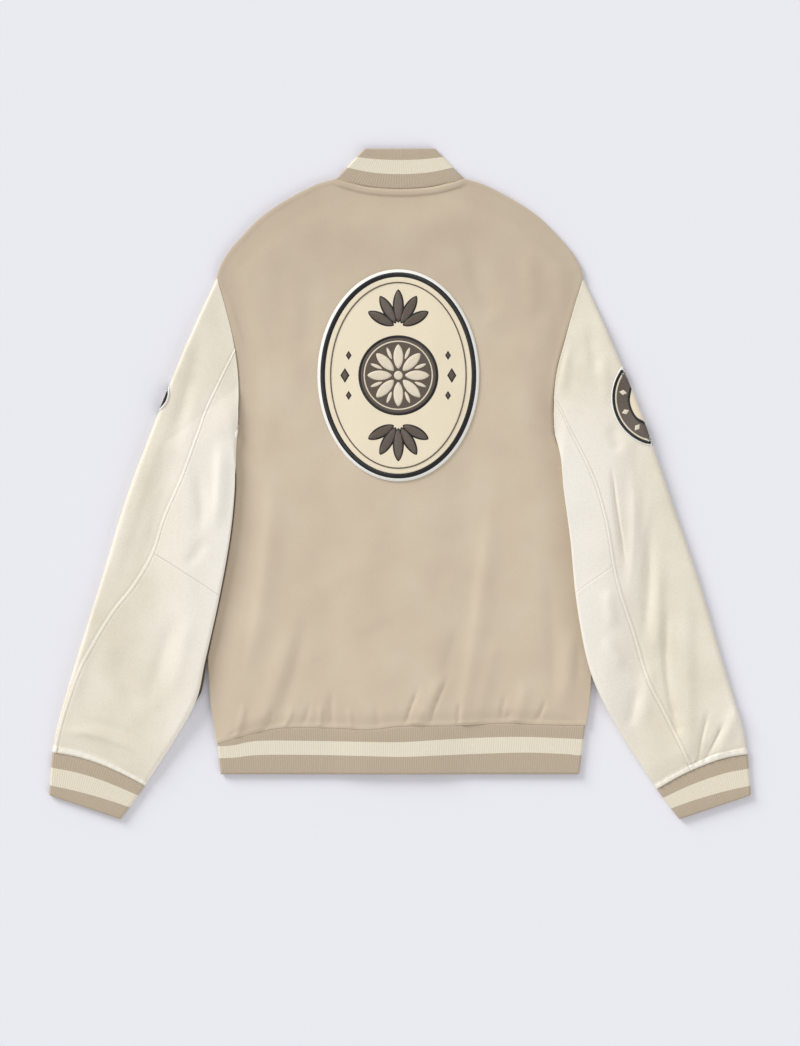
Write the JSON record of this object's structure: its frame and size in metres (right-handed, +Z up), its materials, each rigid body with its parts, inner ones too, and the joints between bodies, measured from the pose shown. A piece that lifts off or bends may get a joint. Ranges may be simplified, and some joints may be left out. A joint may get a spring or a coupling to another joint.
{
  "type": "varsity jacket",
  "caption": "Varsity jacket laid flat with its back up: wool body, leather-look sleeves, striped ribbed collar, cuffs and hem, snap front and plain ornamental patches.",
  "frame": {"origin": "middle of the part's box, on the surface that it lies on", "axes": "+Z up away from the surface, +Y from the hem towards the collar, +X towards the wearer's right sleeve, with the jacket lying on its front"},
  "size_m": [0.842, 0.804, 0.0176],
  "materials": {
    "melton_wool": "soft brushed wool, sand",
    "sleeve_leather": "smooth leather with a soft sheen, ivory",
    "rib_knit": "ribbed knit, taupe with an ivory stripe",
    "patch_felt": "felt and embroidery, cream",
    "patch_dark": "embroidered twill, dark brown",
    "snap_metal": "brushed antique metal"
  },
  "bodies": {
    "root": {"back_panel": "melton_wool", "front_left": "melton_wool", "front_right": "melton_wool", "sleeve_left_over": "sleeve_leather", "sleeve_left_under_upper": "sleeve_leather", "sleeve_left_under_lower": "sleeve_leather", "sleeve_right_over": "sleeve_leather", "sleeve_right_under_upper": "sleeve_leather", "sleeve_right_under_lower": "sleeve_leather", "collar_rib": "rib_knit", "hem_rib": "rib_knit", "cuff_rib_left": "rib_knit", "cuff_rib_right": "rib_knit", "back_patch": "patch_felt", "sleeve_patch_left": "patch_dark", "sleeve_patch_right": "patch_dark", "snap_1": "snap_metal", "snap_2": "snap_metal", "snap_3": "snap_metal", "snap_4": "snap_metal", "snap_5": "snap_metal", "snap_6": "snap_metal", "snap_7": "snap_metal"}
  },
  "joints": []
}
